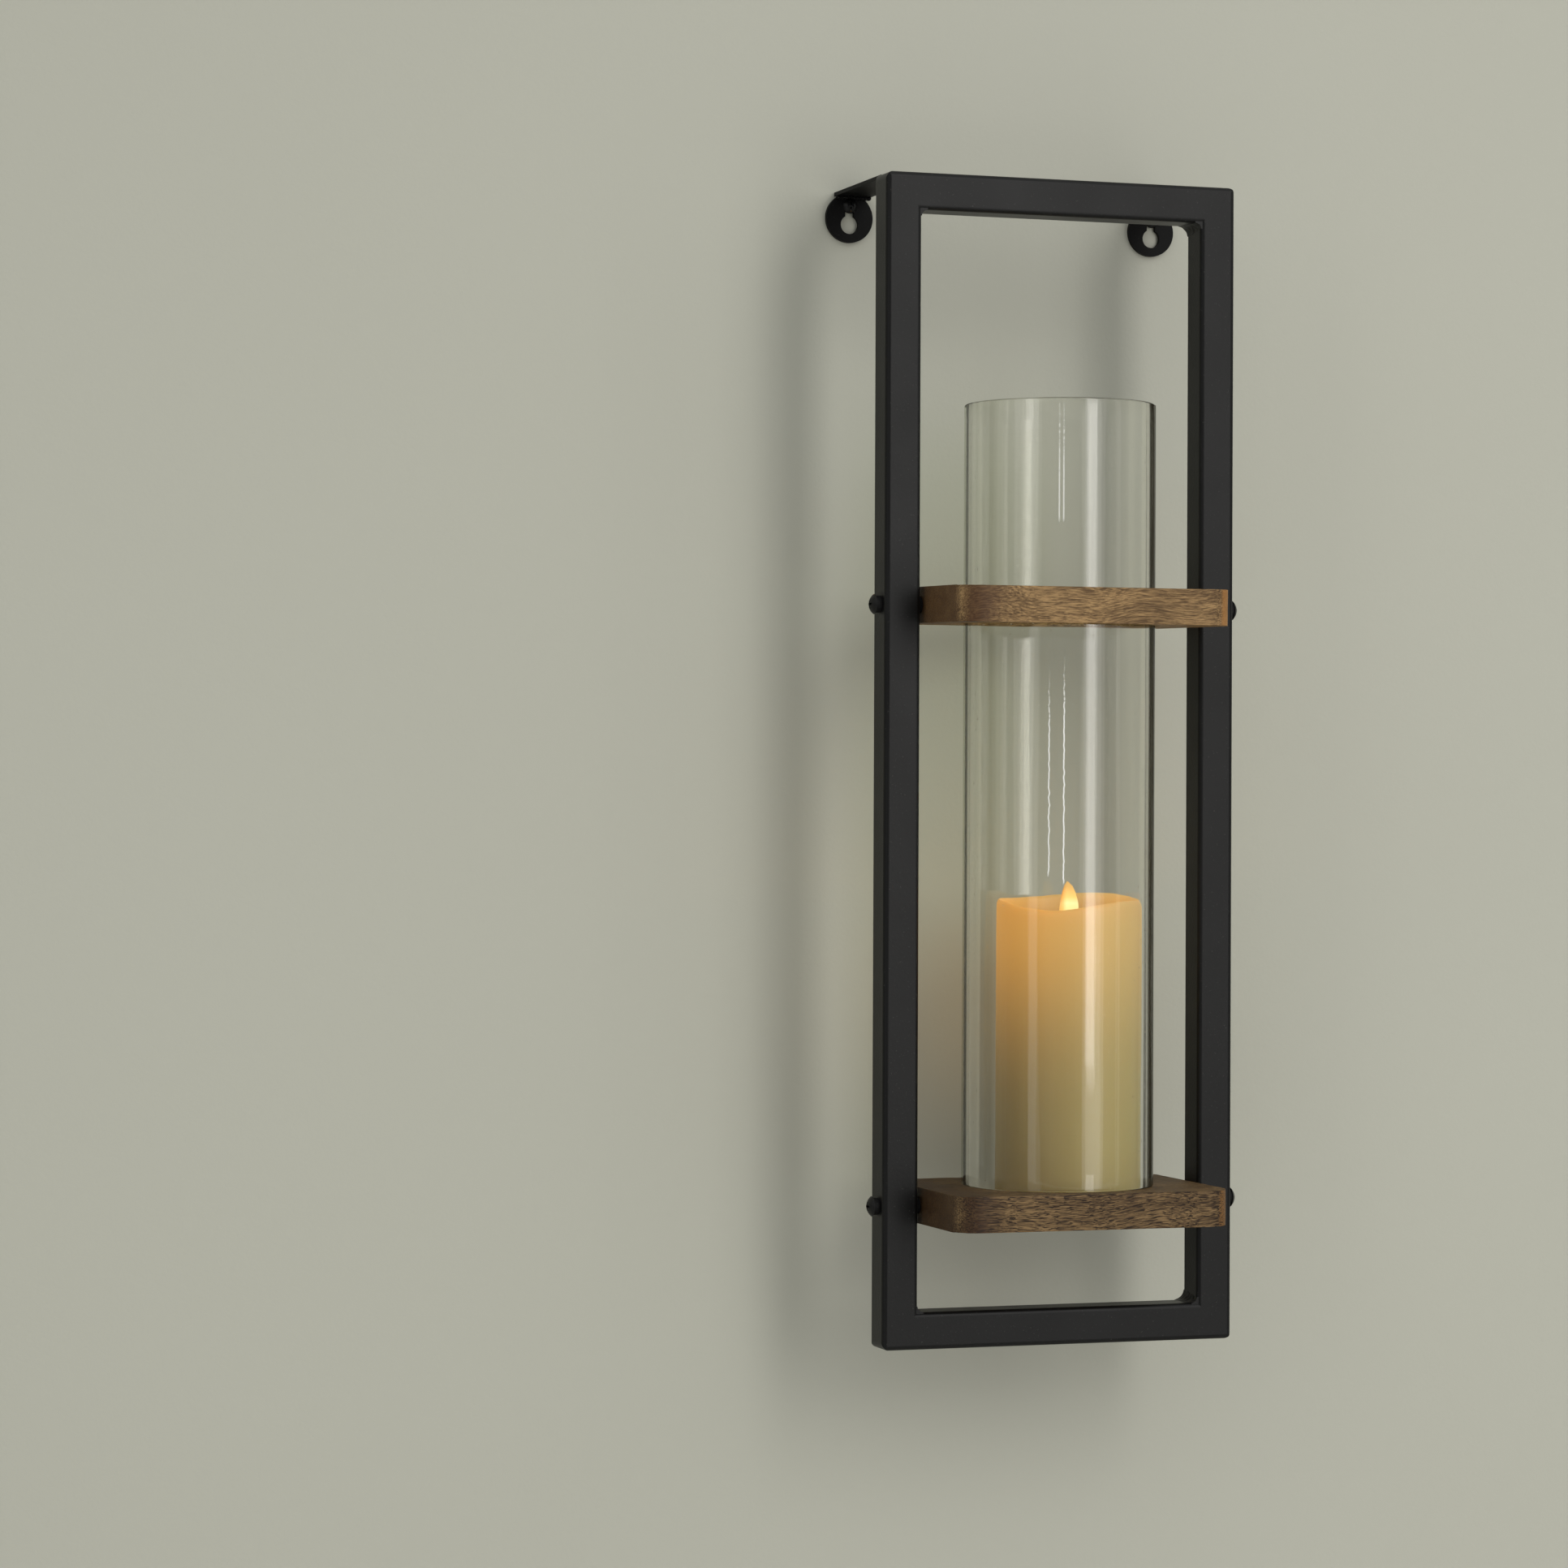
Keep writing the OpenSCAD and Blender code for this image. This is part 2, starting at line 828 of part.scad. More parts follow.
module drive_coil() {
    color([0.62, 0.3, 0.12])
        at_candle()
            translate([0, 0, chamber_z + shell_wall])
                difference() {
                    cylinder(d = coil_d, h = coil_h);
                    translate([0, 0, 1])
                        cylinder(d = coil_hole_d, h = coil_h);
                }
}

// Small lamp standing on its two leads behind the flame, aimed up at it.
module flame_led() {
    led_y = 7.4;
    led_r = 2;
    lead_top = pivot_z - chamber_z - shell_wall - 9;
    color([0.95, 0.85, 0.55])
        at_candle()
            translate([0, led_y, chamber_z + shell_wall]) {
                for (x = [-1, 1])
                    translate([x, 0, 0])
                        cylinder(d = 0.6, h = lead_top);
                translate([0, 0, lead_top])
                    cylinder(r = led_r, h = 4);
                translate([0, 0, lead_top + 4])
                    sphere(r = led_r);
            }
}

module pivot_wire() {
    color(zinc)
        at_candle()
            translate([0, 0, pivot_z])
                rod_x(wire_d, 2 * chamber_r);
}

// Half the flame's width, from its widest level at t = 0 to its tip at t = 1.
function flame_half(t) = flame_w / 2 * pow(cos(90 * t), 0.72);

// Thin flame with a stem that hangs on the wire and swings on it.
module flame_tip() {
    stem_w = 5;
    stem_bottom = magnet_z + magnet_t;
    body_z = pivot_z + 5;                    // where the stem starts to widen
    wide_z = candle_h - 9;                   // widest level
    tip_steps = 14;
    tip_h = flame_top - wide_z;
    color([1, 0.93, 0.7])
        at_candle()
            difference() {
                translate([0, flame_t / 2, 0])
                    rotate([90, 0, 0])
                        linear_extrude(flame_t)
                            polygon(concat(
                                [
                                    [-stem_w / 2, stem_bottom], [stem_w / 2, stem_bottom],
                                    [stem_w / 2, body_z]
                                ],
                                [
                                    for (i = [0:tip_steps])
                                        let (t = i / tip_steps)
                                        [flame_half(t), wide_z + tip_h * t]
                                ],
                                [
                                    for (i = [tip_steps - 1:-1:0])
                                        let (t = i / tip_steps)
                                        [-flame_half(t), wide_z + tip_h * t]
                                ],
                                [[-stem_w / 2, body_z]]
                            ));
                translate([0, 0, pivot_z])
                    rod_x(wire_d + 2 * wire_clear, stem_w + 2);
            }
}

// Weight and magnet in one, glued under the stem above the coil.
module flame_magnet() {
    color(zinc)
        at_candle()
            translate([0, 0, magnet_z])
                cylinder(d = magnet_d, h = magnet_t);
}

// Body of the switch, standing on the base astride the slider.
module slide_switch() {
    color(zinc)
        at_candle()
            difference() {
                translate([-slider_l / 2 - 2, switch_y - switch_w / 2, base_z + base_t])
                    cube([slider_l + switch_travel + 4, switch_w, switch_h]);
                translate([-slider_l / 2 - slip, switch_y - switch_w, base_z + base_t - 1])
                    cube([slider_l + switch_travel + 2 * slip, 2 * switch_w, 1 + slider_t + slip]);
            }
}

// Slider with its knob in the window of the base.
module switch_slider() {
    color([0.08, 0.08, 0.08])
        at_candle() {
            translate([-knob_l / 2, switch_y - knob_w / 2, base_z + knob_clear])
                cube([knob_l, knob_w, base_t - knob_clear + eps]);
            translate([-slider_l / 2, switch_y - slider_w / 2, base_z + base_t])
                cube([slider_l, slider_w, slider_t]);
        }
}

frame_left_stile();
frame_right_stile();
frame_top_rail();
frame_bottom_rail();
frame_corner_welds();
hanger_strap_left();
hanger_strap_right();
hanger_disc_left();
hanger_disc_right();
hanger_welds();
upper_ring();
lower_shelf();
side_screws();
spacers();
threaded_inserts();
wall_screws();
glass_cylinder();
candle_wax();
candle_core();
candle_base();
battery_cover();
battery_cover_screw();
battery_cells();
battery_springs();
contact_plate();
circuit_board();
flame_chamber();
drive_coil();
flame_led();
pivot_wire();
flame_tip();
flame_magnet();
slide_switch();
switch_slider();
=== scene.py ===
import math

import bmesh
import bpy
from mathutils import Matrix, Vector, noise


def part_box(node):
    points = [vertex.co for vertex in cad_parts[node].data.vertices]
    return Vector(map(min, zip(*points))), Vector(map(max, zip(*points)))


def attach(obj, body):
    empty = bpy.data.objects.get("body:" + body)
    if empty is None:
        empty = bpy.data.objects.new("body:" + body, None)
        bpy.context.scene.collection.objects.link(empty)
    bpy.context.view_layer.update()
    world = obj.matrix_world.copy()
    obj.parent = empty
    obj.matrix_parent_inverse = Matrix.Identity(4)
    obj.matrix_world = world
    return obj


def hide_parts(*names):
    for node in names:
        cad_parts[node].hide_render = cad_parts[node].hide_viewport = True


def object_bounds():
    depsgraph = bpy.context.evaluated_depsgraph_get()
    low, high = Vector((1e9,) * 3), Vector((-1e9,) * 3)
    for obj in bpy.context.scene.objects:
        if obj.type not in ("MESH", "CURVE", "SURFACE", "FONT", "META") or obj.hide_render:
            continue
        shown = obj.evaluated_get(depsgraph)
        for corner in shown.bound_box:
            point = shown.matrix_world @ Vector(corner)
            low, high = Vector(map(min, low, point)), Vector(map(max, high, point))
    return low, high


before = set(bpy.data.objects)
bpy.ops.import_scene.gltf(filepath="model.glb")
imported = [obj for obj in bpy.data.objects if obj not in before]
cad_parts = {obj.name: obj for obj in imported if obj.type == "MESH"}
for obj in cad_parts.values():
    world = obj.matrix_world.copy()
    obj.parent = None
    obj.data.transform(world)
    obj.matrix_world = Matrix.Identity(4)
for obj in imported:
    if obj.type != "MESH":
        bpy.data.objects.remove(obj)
cad_low, cad_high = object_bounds()
scene = bpy.context.scene

# ---------------------------------------------------------------- camera
# A long lens a little over two metres off, standing to the left of the sconce and level
# with its middle, turned 18 degrees to the right so that the sconce is right of centre.
CAMERA_PLACE = Vector((-0.883, -2.2736, -0.3098))
CAMERA_LENS = 102.6
YAW, PITCH, ROLL = (math.radians(a) for a in (18.48, 0.20, 0.23))

ahead = Vector((math.sin(YAW) * math.cos(PITCH), math.cos(YAW) * math.cos(PITCH), math.sin(PITCH)))
level_right = Vector((math.cos(YAW), -math.sin(YAW), 0.0))
level_up = level_right.cross(ahead)
right = level_right * math.cos(ROLL) + level_up * math.sin(ROLL)
up = level_up * math.cos(ROLL) - level_right * math.sin(ROLL)
camera = bpy.data.objects.new("camera", bpy.data.cameras.new("camera"))
scene.collection.objects.link(camera)
camera.data.lens = CAMERA_LENS
camera.data.sensor_width = 36.0
camera.data.clip_end = 50.0
camera.matrix_world = Matrix.Translation(CAMERA_PLACE) @ Matrix((right, up, -ahead)).transposed().to_4x4()
scene.camera = camera


# ---------------------------------------------------------------- wall and floor
# The sconce hangs on a plain painted wall with a roller's fine stipple, above a plain pale
# floor. Neither is part of the object. The wall shows from the room side only, so that the
# sconce can be looked at from behind.
class Value:
    """A socket that can be used in sums, which add their Math nodes to its finish."""

    def __init__(self, finish, socket):
        self.finish, self.socket = finish, socket

    def sum(self, operation, first, second=0.0):
        return self.finish.add("Math", {"operation": operation}, {0: first, 1: second})

    def __add__(self, other):
        return self.sum("ADD", self, other)

    def __sub__(self, other):
        return self.sum("SUBTRACT", self, other)

    def __mul__(self, other):
        return self.sum("MULTIPLY", self, other)

    def __pow__(self, other):
        return self.sum("POWER", self, other)

    def __abs__(self):
        return self.sum("ABSOLUTE", self)

    def __radd__(self, other):
        return self.sum("ADD", other, self)

    def __rsub__(self, other):
        return self.sum("SUBTRACT", other, self)

    def __rmul__(self, other):
        return self.sum("MULTIPLY", other, self)


class Finish:
    """One material, built round a Principled shader whose constants are given by name."""

    def __init__(self, name, **constants):
        self.material = bpy.data.materials.new(name)
        self.material.use_nodes = True
        self.tree = self.material.node_tree
        self.shader = next(n for n in self.tree.nodes if n.type == "BSDF_PRINCIPLED")
        self.output = next(n for n in self.tree.nodes if n.type == "OUTPUT_MATERIAL")
        self.set(**{key.replace("_", " "): value for key, value in constants.items()})
        self.place = self.add("TexCoord", {}, {}, "Object")

    def add(self, kind, settings, sockets, out=0):
        """One node of a kind, with its settings made first, then its sockets filled."""
        node = self.tree.nodes.new("ShaderNode" + kind)
        for key, value in settings.items():
            if key == "stops":
                ramp = node.color_ramp.elements
                while len(ramp) < len(value):
                    ramp.new(0.5)
                for stop, (position, colour) in zip(ramp, value):
                    stop.position, stop.color = position, (*colour, 1.0)
            else:
                setattr(node, key, value)
        for key, value in sockets.items():
            self.fill(node.inputs[key], value)
        return Value(self, node.outputs[out])

    def fill(self, socket, value):
        """Links a value to a socket, or sets a constant on it; a colour may leave out its alpha."""
        if isinstance(value, Value):
            self.tree.links.new(value.socket, socket)
        elif socket.type == "RGBA" and len(value) == 3:
            socket.default_value = (*value, 1.0)
        else:
            socket.default_value = value

    def set(self, **sockets):
        for key, value in sockets.items():
            self.fill(self.shader.inputs[key], value)

    def noise(self, scale, detail=2.0, roughness=0.5, place=None, stretch=(1.0, 1.0, 1.0)):
        """Noise from 0 to 1 about its middle, with scale cells a metre, longer where stretch is small."""
        place = place or self.place
        if stretch != (1.0, 1.0, 1.0):
            place = self.add("Mapping", {}, {"Vector": place, "Scale": stretch})
        return self.add(
            "TexNoise", {},
            {"Vector": place, "Scale": scale, "Detail": detail, "Roughness": roughness},
        )

    def step(self, value, low, high, first=0.0, last=1.0):
        """Goes smoothly from first to last while value goes from low to high."""
        return self.add(
            "MapRange", {"interpolation_type": "SMOOTHSTEP"},
            {"Value": value, "From Min": low, "From Max": high, "To Min": first, "To Max": last},
        )

    def larger(self, first, second):
        return self.add("Math", {"operation": "MAXIMUM"}, {0: first, 1: second})

    def mix(self, factor, first, second, blend="MIX"):
        return self.add(
            "Mix", {"data_type": "RGBA", "blend_type": blend},
            {0: factor, 6: first, 7: second}, 2,
        )

    def emboss(self, height, depth, strength):
        return self.add("Bump", {}, {"Height": height, "Distance": depth, "Strength": strength})


def plane_piece(name, corners, finish):
    bm = bmesh.new()
    bm.faces.new([bm.verts.new(c) for c in corners])
    mesh = bpy.data.meshes.new(name)
    bm.to_mesh(mesh)
    bm.free()
    mesh.materials.append(finish.material)
    piece = bpy.data.objects.new(name, mesh)
    scene.collection.objects.link(piece)
    return piece


WALL_GAP = 0.0004
WALL_HALF = 3.0
WALL_TOP = 1.6
FLOOR_Z = cad_low.z - 1.1
FLOOR_REACH = 5.0
WALL_PAINT = (0.50, 0.50, 0.432)
FLOOR_PAINT = (0.62, 0.61, 0.58)

paint = Finish("wall_paint", Roughness=0.85)
paint.set(**{
    "Base Color": paint.mix(paint.noise(3.0), WALL_PAINT, tuple(c * 0.97 for c in WALL_PAINT)),
    "Normal": paint.emboss(paint.noise(420.0, 3.0), 0.0003, 0.35),
})
unseen = paint.add("BsdfTransparent", {}, {})
from_behind = paint.add("NewGeometry", {}, {}, "Backfacing")
paint.fill(paint.output.inputs["Surface"], paint.add(
    "MixShader", {}, {0: from_behind, 1: Value(paint, paint.shader.outputs[0]), 2: unseen}))
wall = plane_piece("wall", [
    (-WALL_HALF, WALL_GAP, FLOOR_Z), (WALL_HALF, WALL_GAP, FLOOR_Z),
    (WALL_HALF, WALL_GAP, WALL_TOP), (-WALL_HALF, WALL_GAP, WALL_TOP)], paint)
floor_paint = Finish("floor_paint", Roughness=0.6)
floor_paint.set(**{
    "Base Color": floor_paint.mix(floor_paint.noise(5.0), FLOOR_PAINT, tuple(c * 0.96 for c in FLOOR_PAINT)),
})
floor = plane_piece("floor", [
    (-FLOOR_REACH, -FLOOR_REACH, FLOOR_Z), (FLOOR_REACH, -FLOOR_REACH, FLOOR_Z),
    (FLOOR_REACH, WALL_GAP, FLOOR_Z), (-FLOOR_REACH, WALL_GAP, FLOOR_Z)], floor_paint)

# ---------------------------------------------------------------- light
# A tall soft box with a broader, dimmer one round it, right of and above the sconce, throws
# its shadow left and down. A weak box far left, a strip on the right and a sky that is paler
# above fill it in.
MIDDLE = Vector((0.0, -0.08, -0.30))


def soft_box(name, azimuth, elevation, distance, width, height, power, colour):
    a, e = math.radians(azimuth), math.radians(elevation)
    away = Vector((math.sin(a) * math.cos(e), -math.cos(a) * math.cos(e), math.sin(e)))
    lamp = bpy.data.lights.new(name, "AREA")
    lamp.shape, lamp.size, lamp.size_y = "RECTANGLE", width, height
    lamp.energy, lamp.color = power, colour
    box = bpy.data.objects.new(name, lamp)
    box.location = MIDDLE + away * distance
    box.rotation_euler = (-away).to_track_quat("-Z", "Y").to_euler()
    scene.collection.objects.link(box)


soft_box("key_box", 18.0, 20.0, 2.4, 0.50, 2.4, 11.0, (1.0, 0.98, 0.95))
soft_box("key_surround", 21.0, 9.0, 2.5, 1.10, 3.2, 15.5, (1.0, 0.98, 0.95))
soft_box("window_box", -53.0, 6.0, 2.6, 0.55, 3.0, 4.0, (1.0, 1.0, 0.96))
soft_box("side_strip", 53.0, 8.0, 2.6, 0.16, 2.6, 1.2, (1.0, 0.97, 0.93))
SKY_LOW, SKY_HIGH = 0.05, 0.94
world = bpy.data.worlds.new("even_light")
world.use_nodes = True
sky = world.node_tree.nodes
sky_parts = sky.new("ShaderNodeSeparateXYZ")
fade = sky.new("ShaderNodeMapRange")
fade.inputs["From Min"].default_value, fade.inputs["From Max"].default_value = -0.35, 0.75
fade.inputs["To Min"].default_value, fade.inputs["To Max"].default_value = SKY_LOW, SKY_HIGH
world.node_tree.links.new(sky.new("ShaderNodeTexCoord").outputs["Generated"], sky_parts.inputs[0])
world.node_tree.links.new(sky_parts.outputs["Z"], fade.inputs["Value"])
world.node_tree.links.new(fade.outputs[0], sky["Background"].inputs["Strength"])
sky["Background"].inputs["Color"].default_value = (0.985, 1.0, 0.985, 1.0)
scene.world = world
scene.view_settings.view_transform = "Standard"


# ---------------------------------------------------------------- steel frame
# Square tube mitred and welded at the corners, ground smooth and powder coated in one go
# with its hangers. The coat is satin black with a fine orange peel and a little dust.
def coat_of_black(name, base, gloss, peel, shine=0.20):
    """Black paint or plating: base is its colour, gloss its roughness and peel its texture's depth."""
    coat = Finish(name, Metallic=0.0, Specular_IOR_Level=shine)
    cloud = coat.noise(22.0, 3.0)
    dust = coat.step(coat.noise(900.0, 2.0), 0.66, 0.78)
    dark = tuple(base * c for c in (1.0, 1.0, 1.04))
    pale = tuple(base * c for c in (1.7, 1.68, 1.66))
    coat.set(**{
        "Base Color": coat.mix(dust * 0.35, coat.mix(cloud, dark, pale), (0.09, 0.088, 0.082)),
        "Roughness": gloss + 0.14 * cloud + 0.2 * dust,
        "Normal": coat.emboss(coat.noise(650.0, 2.0) + 0.6 * coat.noise(70.0, 2.0), peel, 0.5),
    })
    return coat


def finish_nodes(finish, *names):
    for name in names:
        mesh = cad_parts[name].data
        mesh.materials.clear()
        mesh.materials.append(finish.material)


powder_coat = coat_of_black("powder_coat", 0.0034, 0.32, 0.00012)
finish_nodes(
    powder_coat, "frame_left_stile", "frame_right_stile", "frame_top_rail", "frame_bottom_rail",
)


WELD_ROWS = 26
WELD_ACROSS = 12
WELD_FRONT = 0.0034
WELD_BACK = 0.0058
WELD_ROOT = 0.0011
WELD_WAVE = 0.00018
WELD_RIPPLE = 0.00005


def weld_bead(bm, corner, side, rise, front, back):
    """A bead in an inside corner, from front to back, small in front and full behind."""
    rows = []
    for i in range(WELD_ROWS + 1):
        t = i / WELD_ROWS
        leg = WELD_FRONT + (WELD_BACK - WELD_FRONT) * min(1.0, t / 0.7) ** 1.4
        y = front + (back - front) * t
        row = [bm.verts.new(corner + Vector((-side * WELD_ROOT, y, -rise * WELD_ROOT)))]
        for j in range(WELD_ACROSS + 1):
            a = math.pi / 2 * j / WELD_ACROSS
            out, down = leg * (1 - math.sin(a)), leg * (1 - math.cos(a))
            if j in (0, WELD_ACROSS):
                push = 0.0
                ends = (out, -WELD_ROOT) if j == 0 else (-WELD_ROOT, down)
            else:
                seat = Vector((corner.x * 300 + out * 500, y * 620, corner.z * 40 + down * 500))
                push = WELD_WAVE * noise.noise(seat) + WELD_RIPPLE * math.sin(y * 4200.0 + 2.0 * a)
                ends = (out + push, down + push)
            row.append(bm.verts.new(corner + Vector((side * ends[0], y, rise * ends[1]))))
        rows.append(row)
    for a, b in zip(rows, rows[1:]):
        for k in range(len(a)):
            m = (k + 1) % len(a)
            bm.faces.new((a[k], a[m], b[m], b[k]))
    bm.faces.new(rows[0])
    bm.faces.new(rows[-1])


def piece_from(name, bm, finish, body, replaced, smooth=40.0):
    """A finished piece in place of a CAD node, smooth but for edges sharper than an angle."""
    mesh = bpy.data.meshes.new(name)
    bm.to_mesh(mesh)
    bm.free()
    mesh.materials.append(finish.material)
    mesh.shade_smooth()
    mesh.set_sharp_from_angle(angle=math.radians(smooth))
    piece = bpy.data.objects.new(name, mesh)
    scene.collection.objects.link(piece)
    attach(piece, body)
    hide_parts(replaced)


stile_low, stile_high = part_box("frame_left_stile")
rail_levels = ((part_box("frame_top_rail")[0].z, -1), (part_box("frame_bottom_rail")[1].z, 1))
bm = bmesh.new()
for side in (-1, 1):
    for level, rise in rail_levels:
        weld_bead(
            bm, Vector((side * abs(stile_high.x), 0.0, level)), -side, rise,
            stile_low.y + 0.0006, stile_high.y - 0.0009)
bmesh.ops.recalc_face_normals(bm, faces=bm.faces)
piece_from("corner_beads", bm, powder_coat, "sconce", "frame_corner_welds", 50.0)

# ---------------------------------------------------------------- hangers
# A strap welded to the tube and a keyhole disc welded to the strap, on each side. Their coat
# is painted darker and duller than the frame's, as painted shade where the frame shadows them.
shaded_hanger_coat = coat_of_black("shaded_hanger_coat", 0.0030, 0.46, 0.00012, 0.10)
finish_nodes(
    shaded_hanger_coat, "hanger_strap_left", "hanger_strap_right", "hanger_disc_left",
    "hanger_disc_right", "hanger_welds",
)

# ---------------------------------------------------------------- screws and spacers
# Black zinc pan-head screws go through the tube into brass inserts in the boards' ends, with
# black spacer rings on both sides of the tube. Two more screws hold the sconce to the wall.
black_zinc = coat_of_black("black_zinc", 0.0055, 0.25, 0.00006)
finish_nodes(black_zinc, "side_screws", "wall_screws")
rubber = coat_of_black("spacer_rubber", 0.004, 0.6, 0.00008)
finish_nodes(rubber, "spacers")
brass = Finish("insert_brass", Metallic=1.0)
scratch = brass.noise(800.0, 3.0)
brass.set(**{
    "Base Color": brass.mix(scratch, (0.55, 0.38, 0.13), (0.78, 0.6, 0.28)),
    "Roughness": 0.25 + 0.2 * scratch,
    "Normal": brass.emboss(scratch, 0.00005, 0.4),
})
finish_nodes(brass, "threaded_inserts")

# ---------------------------------------------------------------- boards
# Two boards of solid mango wood, cut with rounded corners, wire brushed, stained brown and
# rubbed back, so that the edges are paler than the faces. The rounded corners are paler partly
# from that wear and partly from a painted highlight. The right ends take an amber painted
# highlight, and the left ends are painted darker and redder as painted shade beside the left
# stile. The lower board is darker all over. The upper one has turned a little on its screws,
# and its front edge hangs lower than its back edge.
BOARD_BEVEL = 0.0013
SLICE = 0.0026
HOLE_REACH = 0.054
DENT = 0.00022
NICK = 0.00012
EDGE_NICK = 0.0003
RING_SAG = 1.2
# Where the painted shade on the boards' left ends fades out.
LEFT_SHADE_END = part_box("upper_ring")[0].x + 0.010
WOOD_DARK = (0.105, 0.060, 0.027)
WOOD_MID = (0.215, 0.132, 0.060)
WOOD_PALE = (0.40, 0.255, 0.118)
# The pale tone is rubbed-back wear and painted highlight, the dark red is painted shade on the left ends,
# and the amber is a painted highlight on the right ends.
RAW_WOOD_AND_HIGHLIGHT = (0.45, 0.32, 0.17)
LEFT_SHADE_RED = (0.062, 0.025, 0.010)
RIGHT_END_HIGHLIGHT = (0.36, 0.165, 0.045)
PORE_BROWN = (0.034, 0.017, 0.008)


def rounded_copy(node, width, segments):
    """A welded copy of a CAD node's mesh with its sharp edges rounded."""
    bm = bmesh.new()
    bm.from_mesh(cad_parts[node].data)
    bmesh.ops.remove_doubles(bm, verts=bm.verts, dist=1e-6)
    bmesh.ops.dissolve_limit(bm, angle_limit=math.radians(0.5), verts=bm.verts, edges=bm.edges)
    sharp = [e for e in bm.edges if len(e.link_faces) == 2 and e.calc_face_angle() > math.radians(40)]
    bmesh.ops.bevel(
        bm, geom=sharp, offset=width, offset_type="OFFSET", segments=segments, profile=0.5,
        affect="EDGES", material=-1, clamp_overlap=True)
    return bm


def slice_along(bm, axis, low, high):
    """Cuts a mesh into even slices across an axis, so that its faces can take small dents."""
    count = round((high - low) / SLICE)
    normal = Vector((axis == 0, axis == 1, axis == 2))
    for i in range(1, count):
        cut = normal * (low + (high - low) * i / count)
        bmesh.ops.bisect_plane(
            bm, geom=list(bm.verts) + list(bm.edges) + list(bm.faces), dist=1e-7,
            plane_co=cut, plane_no=normal)


def board(node, seed):
    """A worn board, with how worn an edge is, how far a side has turned from the board's end
    to its front, and how near that is to the right end, kept on its points for the finish."""
    low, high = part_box(node)
    bm = rounded_copy(node, BOARD_BEVEL, 3)
    for axis in (0, 1, 2):
        slice_along(bm, axis, low[axis], high[axis])
    bm.normal_update()
    wear = bm.verts.layers.float.new("wear")
    bend = bm.verts.layers.float.new("bend")
    right_end = bm.verts.layers.float.new("right_end")
    moves = []
    for v in bm.verts:
        n = v.normal
        slant = n.z * n.z
        flat = max(1.0 - slant, 1e-6)
        v[wear] = min(1.0, 4.0 * slant * flat)
        inside = (v.co.x ** 2 + (v.co.y - (low.y + high.y) / 2) ** 2) ** 0.5 < HOLE_REACH
        v[bend] = 1.0 if inside or slant > 0.8 else math.atan2(abs(n.y), abs(n.x)) / (math.pi / 2)
        v[right_end] = 1.0 - v[bend] if v.co.x > 0.0 else 0.0
        place = v.co + Vector((seed, 0.0, 0.0))
        swell = DENT * (1 + noise.noise(place * 45.0))
        nick = (NICK + EDGE_NICK * v[wear]) * max(noise.noise(place * 260.0), 0.0)
        end = abs(v.co.x) > high.x - 0.0004
        moves.append(-n * (0.0 if end else swell + nick))
    for v, move in zip(bm.verts, moves):
        v.co += move
    return bm


